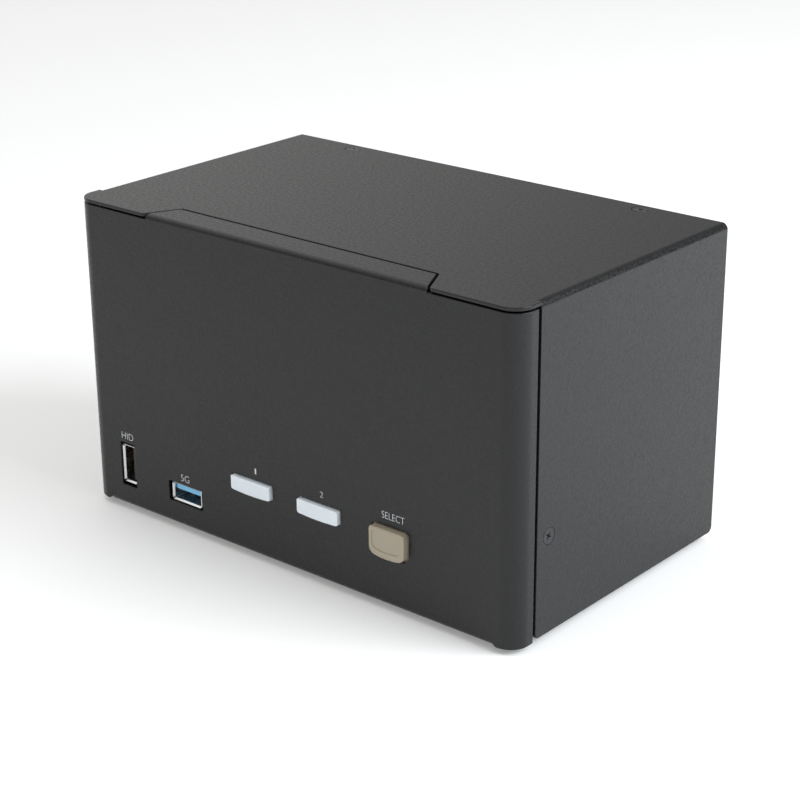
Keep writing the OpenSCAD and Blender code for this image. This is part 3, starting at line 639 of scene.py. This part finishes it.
def cross_screw(name):
    """A countersunk screw with a tapered cross recess. The middle of its head's face is
    at the row frame's origin, and its shank points down."""
    arm_long, arm_wide, arm_deep = 1.5, 0.33, 1.0
    down = (0, 0, -1)
    here = spot(Vector((0, 0, 0)))
    head = rod(name, here, down, HEAD_R, HEAD_T, 48, SHANK_R)
    round_edges(head, lambda e: near(middle(e).z, here.z) and not e.is_boundary
                and abs(e.verts[0].co.z) < 1e-7 and abs(e.verts[1].co.z) < 1e-7, 0.14, 3)
    shank = rod("shank", here - Vector((0, 0, HEAD_T - 0.05)), down, SHANK_R,
                SCREW_LENGTH - HEAD_T, 32)
    weld(head, shank)
    for half_x, half_y in ((arm_wide, arm_long), (arm_long, arm_wide)):
        size = Vector((half_x, half_y, arm_deep))
        arm = block("arm", here - size, here + Vector((size.x, size.y, 0.5)))
        pick(arm, "VERT", lambda v: v.co.z < -0.0005)
        bpy.ops.transform.resize(value=(0.5, 0.5, 1), center_override=(0, 0, -0.001))
        done()
        carve(head, arm)
    pit = rod("pit", here + Vector((0, 0, 0.1)), down, 0.78, 1.25, 20, 0.25)
    carve(head, pit)
    tidy_mesh(head, 0.5)
    return soften(head, 0.045, 2, 40)


def screws(name, model, places, material, node):
    """Copies of one screw, each with its head at a place and facing outwards."""
    copies = []
    for place, out in places:
        use(model)
        bpy.ops.object.duplicate()
        screw = bpy.context.object
        screw.rotation_mode = "QUATERNION"
        lean = Vector((0, 0, 1)).rotation_difference(Vector(out))
        turn = Quaternion((0, 0, 1), math.radians(20 + 35 * len(copies)))
        screw.rotation_quaternion = lean @ turn
        screw.location = drawn(*place)
        copies.append(settle(screw))
    piece = together(name, copies)
    return put(piece, material, "case", node)


# ---- Front controls ----

def front_border(piece, y, radius, segments):
    """Rounds the border of the face that looks out of the front panel."""
    def on_border(edge):
        flat = [f.normal.y < -0.95 for f in edge.link_faces]
        return near(middle(edge).y, y, 0.01) and len(flat) == 2 and flat[0] != flat[1]
    return round_edges(piece, on_border, radius, segments)


def make_lamp_window(name, x, node):
    """A light guide: the window, the rim that stops it behind the panel and the stem that
    leads to its lamp."""
    face = lamp_shape(name, x, 0, -LAMP_OUT, 1.1)
    front_border(face, -LAMP_OUT, 0.3, 4)
    rim = smile_block("rim", x, LAMP_TOP + RIM, LAMP_W + 2 * RIM, LAMP_H + 2 * RIM,
                      0.5, 1.8, 2.0, 1.0, 2.2)
    stem = block("stem", (x - 6, 2.1, LAMP_TOP - 4.25), (x + 6, 8.4, LAMP_TOP - 1.05))
    window = smooth(weld(face, [rim, stem]))
    return put(window, frosted, "case", node)


def make_button():
    """The push button: a face with a shallow dish for a finger, a rim behind the panel and
    a post that meets the switch."""
    dish_w, dish_top, dish_low = 11.5, BUTTON_TOP - 1.25, BUTTON_TOP - 7.9
    face = button_shape("select_push_button", 0, -BUTTON_OUT, 1.25)
    front_border(face, -BUTTON_OUT, 0.5, 5)
    dish = smile_block("dish", BUTTON_X, dish_top, dish_w, dish_top - dish_low, 0.95, 0.5,
                       1.3, -3.0, -1.8)
    carve(face, dish)
    tidy_mesh(face, 0.3)

    def dish_rim(edge):
        place = middle(edge)
        flat = [f.normal.y < -0.95 for f in edge.link_faces]
        return (near(place.y, -BUTTON_OUT, 0.01) and len(flat) == 2 and flat[0] != flat[1]
                and abs(place.x - BUTTON_X) < dish_w / 2 + 0.15
                and dish_low - 0.3 < place.z < dish_top + 0.2)
    round_edges(face, dish_rim, 0.13, 3)
    rim = smile_block("rim", BUTTON_X, BUTTON_TOP + RIM, BUTTON_W + 2 * RIM,
                      BUTTON_H + 2 * RIM, BUTTON_SAG, 2.4, 3.3, 1.15, 2.35)
    post = rod("post", (BUTTON_X, 2.25, BUTTON_TOP - BUTTON_H / 2), (0, 1, 0), 1.9, 2.15, 32)
    button = smooth(weld(face, [rim, post]))
    return put(button, taupe, "button", "select_button")


# ---- Data sockets ----

def turned(low, high, upright, x, z):
    """Corners of a block of a socket. The socket is drawn lying flat with its middle at
    zero; an upright one has its top side on the right."""
    points = []
    for across, y, up in (low, high):
        points.append((x + up, y, z - across) if upright else (x + across, y, z + up))
    return ([min(a, b) for a, b in zip(*points)], [max(a, b) for a, b in zip(*points)])


def make_socket(prefix, x, z, upright, tongue_material, tongue_slot):
    """A data socket: a folded shell with a flared lip and two springs, a moulded base, a
    tongue along the shell's top side, and contact strips under the tongue. The base always
    takes the black finish. In the blue socket this black is painted shade of the socket's
    deep end, where the real insert is blue."""
    half_w, half_h = SHELL_W / 2, SHELL_H / 2
    throat, back = MOUTH_Y + 0.6, MOUTH_Y + SHELL_DEPTH
    flare = 0.55
    spring_t, spring_y = 0.12, (6.2, 10.2)

    def part(name, low, high):
        return block(name, *turned(low, high, upright, x, z))

    shell = part(prefix + "_folded_shell", (-half_w, throat, -half_h), (half_w, back, half_h))
    round_edges(shell, lambda e: runs(e, 1), 0.75, 5)
    open_faces(shell, lambda f: f.normal.y < -0.9)
    pick(shell, "EDGE", lambda e: e.is_boundary and near(middle(e).y, throat, 0.01))
    bpy.ops.mesh.extrude_region_move(
        TRANSFORM_OT_translate={"value": (0, -flare * MM, 0)})
    wide, tall = (1 + 2 * LIP / size for size in (SHELL_W, SHELL_H))
    bpy.ops.transform.resize(value=(tall, 1, wide) if upright else (wide, 1, tall),
                             center_override=drawn(x, MOUTH_Y, z))
    done()
    open_faces(shell, lambda f: middle(f).y < throat
               and abs(f.normal.x) > 0.2 and abs(f.normal.z) > 0.2)
    thicken(shell, SHELL_T)
    springs = []
    for across in (-3.4, 3.4):
        inner = SHELL_T + 0.22 - half_h
        spring = part("spring", (across - 0.9, spring_y[0], inner - spring_t),
                      (across + 0.9, spring_y[1], inner + spring_t))
        springs.append(round_edges(spring, lambda e: not runs(e, 1), 0.1, 2))
    soften(shell, 0.09, 2)
    shell = smooth(together(prefix + "_folded_shell", [shell] + springs))
    put(shell, tin, "case", prefix + "_shell")

    inner_w, inner_h = half_w - SHELL_T - 0.05, half_h - SHELL_T - 0.05
    base = part(prefix + "_moulded_base", (-inner_w, BASE_Y, -inner_h),
                (inner_w, BASE_Y + 3.5, inner_h))
    soften(base, 0.16, 3)
    # The black finish is the insert's own colour in the black socket. In the blue socket it
    # is painted shade of the deep end.
    put(base, black_plastic_and_socket_shade, "case", prefix + "_insert")
    tongue_top = half_h - SHELL_T - 0.3
    tongue = part(prefix + "_tongue", (-inner_w + 0.2, MOUTH_Y + 1.2, tongue_top - TONGUE_T),
                  (inner_w - 0.2, BASE_Y + 0.05, tongue_top))
    soften(tongue, 0.16, 3)
    put(tongue, tongue_material, "case", prefix + "_insert")

    strips = []
    for k in range(CONTACTS):
        across = (k - (CONTACTS - 1) / 2) * CONTACT_PITCH
        strip = part("strip", (across - 0.5, MOUTH_Y + 2.1, tongue_top - TONGUE_T - 0.25),
                     (across + 0.5, BASE_Y, tongue_top - TONGUE_T + 0.01))
        strips.append(soften(strip, 0.06, 2))
    contacts = together(prefix + "_contact_strips", strips)
    put(contacts, gold, "case", prefix + "_contacts")


def label(name, text, x, z, height, width):
    """White print on the front panel, centred on a point and fitted to a size."""
    proud = 0.012
    clear()
    bpy.ops.object.text_add()
    words = bpy.context.object
    words.data.body = text
    words.data.size = 0.01
    words.data.extrude = 0.00001
    words.data.offset = -0.0002
    words.data.resolution_u = 6
    bpy.ops.object.convert(target="MESH")
    words = bpy.context.object
    words.name = name
    points = [v.co.copy() for v in words.data.vertices]
    low = Vector([min(p[k] for p in points) for k in range(3)])
    high = Vector([max(p[k] for p in points) for k in range(3)])
    wide, tall = width * MM / (high.x - low.x), height * MM / (high.y - low.y)
    words.scale = (wide, tall, 1)
    words.rotation_euler = (math.radians(90), 0, 0)
    centre = (low + high) / 2
    words.location = drawn(x, -proud, z) - Vector((centre.x * wide, 0, centre.y * tall))
    settle(words)
    tidy_mesh(words)
    return put(words, print_white)


# ---- Copies of CAD pieces with rounded edges ----

def rounded_copy(node, name, width, material, segments=2, leave=None):
    """A copy of a CAD piece, merged and with its sharp edges rounded."""
    piece = bpy.data.objects.new(name, nodes[node].data.copy())
    bpy.context.scene.collection.objects.link(piece)
    tidy_mesh(piece, 1.0)
    soften(piece, width, segments, 40, leave)
    return put(piece, material, "case", node)


make_cover()
make_front_panel()
model = cross_screw("screw_model")
screws("cover_top_screws", model,
       [((side * TOP_SCREW[0], TOP_SCREW[1], BODY_H - HEAD_SUNK), (0, 0, 1))
        for side in (-1, 1)],
       screw_black, "top_screws")
screws("cover_side_screws", model,
       [((side * (HALF_W - HEAD_SUNK), *SIDE_SCREW), (side, 0, 0)) for side in (-1, 1)],
       screw_black, "side_screws")
bpy.data.objects.remove(model)
make_lamp_window("lamp_light_guide_1", LAMPS[0], "lamp_window_1")
make_lamp_window("lamp_light_guide_2", LAMPS[1], "lamp_window_2")
make_button()
make_socket("hid", *HID, True, black_plastic_and_socket_shade, "black_plastic")
make_socket("fast", *FAST, False, socket_blue, "blue_plastic")

# Each label's piece, text, middle across and up the panel, height and width
LABELS = (
    ("print_hid", "HID", -74.1, 26.15, 2.4, 5.6),
    ("print_fast", "5G", -46.4, 18.05, 2.4, 4.0),
    ("print_1", "1", -13.0, 30.1, 2.0, 0.6),
    ("print_2", "2", 15.85, 30.1, 2.0, 1.35),
    ("print_select", "SELECT", 45.45, 30.9, 2.3, 9.1),
)
for row in LABELS:
    label(*row)

# The edges of vents, cut-outs and screw holes, inside the rear panel's and the tray's
# outlines, stay sharp.
rounded_copy("rear_panel", "rear_sheet", 0.2, coat,
             leave=lambda m: abs(m.x) < 89 and 2 < m.z < 104)
rounded_copy("base_tray", "tray_sheet", 0.2, coat,
             leave=lambda m: abs(m.x) < 88 and 2 < m.y < 106 and m.z < 8)
rounded_copy("rubber_feet", "foot_mouldings", 0.3, rubber, 3)

# The CAD nodes that are kept as they are, by their finish
CARRIED = (
    (screw_black, ("base_screws", "panel_screws")),
    (nickel, ("stud_nuts", "ground_screw", "board_screws", "power_pin")),
    (black_plastic_and_socket_shade, ("switch_plunger", "switch_body", "button_frame", "button_header",
                    "board_sockets", "video_inserts", "host_inserts", "console_inserts",
                    "audio_jacks", "power_inlet")),
    (mask_green, ("button_board", "main_board", "video_board_1", "video_board_2",
                  "video_board_3")),
    (lamp_resin, ("lamp_leds",)),
    (brass, ("base_standoffs", "stack_standoffs")),
    (cream, ("board_plugs",)),
    (chip_epoxy, ("video_chips", "hub_chips")),
    (sink_metal, ("heat_sinks",)),
    (sleeve, ("capacitors",)),
    (tin, ("video_shells", "host_shells", "console_shells")),
    (ring_green, ("audio_rings",)),
)
for material, names in CARRIED:
    for name in names:
        nodes[name].data.materials.clear()
        nodes[name].data.materials.append(material)


# ---- Studio ----

# In metres, watts and degrees, in the row frame
FLOOR_SIZE = 24
CAMERA_PLACE = (0.40683, -0.47513, 0.29192)
CAMERA_AIM = (0.01528, -0.01539, 0.05201)
CAMERA_ROLL = -0.435
SKY_LOBES = (((-1, 0.1, 0.35), 1.3), ((0, 0, 1), 1.05), ((0.1, -1, 0.35), 0.08))


def make_floor():
    clear()
    bpy.ops.mesh.primitive_plane_add(size=FLOOR_SIZE, location=(0, 0, 0))
    floor = bpy.context.object
    floor.name = "floor"
    pale = finish("pale light table", (0.86, 0.86, 0.86), 0.9, mottle=(2.0, 0.01),
                  rough_swing=0.02, grain=(200.0, 0.0), Specular_IOR_Level=0.1,
                  Emission_Color=(1, 1, 1, 1), Emission_Strength=0.18)
    floor.data.materials.append(pale)


def soft_light(name, place, aim, size, power, colour=(1, 1, 1)):
    """A soft box at a place, turned to face another."""
    light = bpy.data.lights.new(name, "AREA")
    light.shape = "RECTANGLE"
    light.size, light.size_y = size
    light.energy = power
    light.color = colour
    lamp = bpy.data.objects.new(name, light)
    bpy.context.scene.collection.objects.link(lamp)
    lamp.location = place
    lamp.rotation_euler = (Vector(aim) - Vector(place)).to_track_quat("-Z", "Y").to_euler()


def make_sky(lobes):
    """Soft studio light from a few broad directions, each with its strength."""
    world = bpy.data.worlds.new("studio")
    bpy.context.scene.world = world
    world.use_nodes = True
    tree = world.node_tree
    sky = tree.nodes["Background"]
    sky.inputs["Color"].default_value = (1.0, 0.995, 0.98, 1)
    way = tree.nodes.new("ShaderNodeTexCoord")

    def maths(operation, first, second):
        node = tree.nodes.new("ShaderNodeMath")
        node.operation = operation
        tree.links.new(first, node.inputs[0])
        if isinstance(second, float):
            node.inputs[1].default_value = second
        else:
            tree.links.new(second, node.inputs[1])
        return node.outputs["Value"]

    total = None
    for direction, strength in lobes:
        lean = tree.nodes.new("ShaderNodeVectorMath")
        lean.operation = "DOT_PRODUCT"
        lean.inputs[1].default_value = Vector(direction).normalized()
        tree.links.new(way.outputs["Generated"], lean.inputs[0])
        facing = maths("MAXIMUM", lean.outputs["Value"], 0.0)
        glow = maths("MULTIPLY", maths("POWER", facing, 3.0), strength)
        total = maths("ADD", total, glow) if total else glow
    tree.links.new(total, sky.inputs["Strength"])


def make_camera():
    data = bpy.data.cameras.new("camera")
    data.lens = 90.0
    data.sensor_width = 36.0
    camera = bpy.data.objects.new("camera", data)
    bpy.context.scene.collection.objects.link(camera)
    camera.location = CAMERA_PLACE
    look = Vector(CAMERA_AIM) - camera.location
    level = look.to_track_quat("-Z", "Y")
    roll = Quaternion((0, 0, 1), math.radians(CAMERA_ROLL))
    camera.rotation_euler = (level @ roll).to_euler()
    bpy.context.scene.camera = camera


make_floor()
make_sky(SKY_LOBES)
soft_light("key", (1.1, 0.35, 0.8), (0.1, 0, 0.0), (1.0, 0.8), 21.0, (0.92, 0.965, 1.0))
soft_light("front", (0.2, -1.1, 0.5), (0.05, -0.1, 0), (0.8, 0.5), 2.5)
make_camera()
bpy.context.scene.view_settings.view_transform = "Standard"
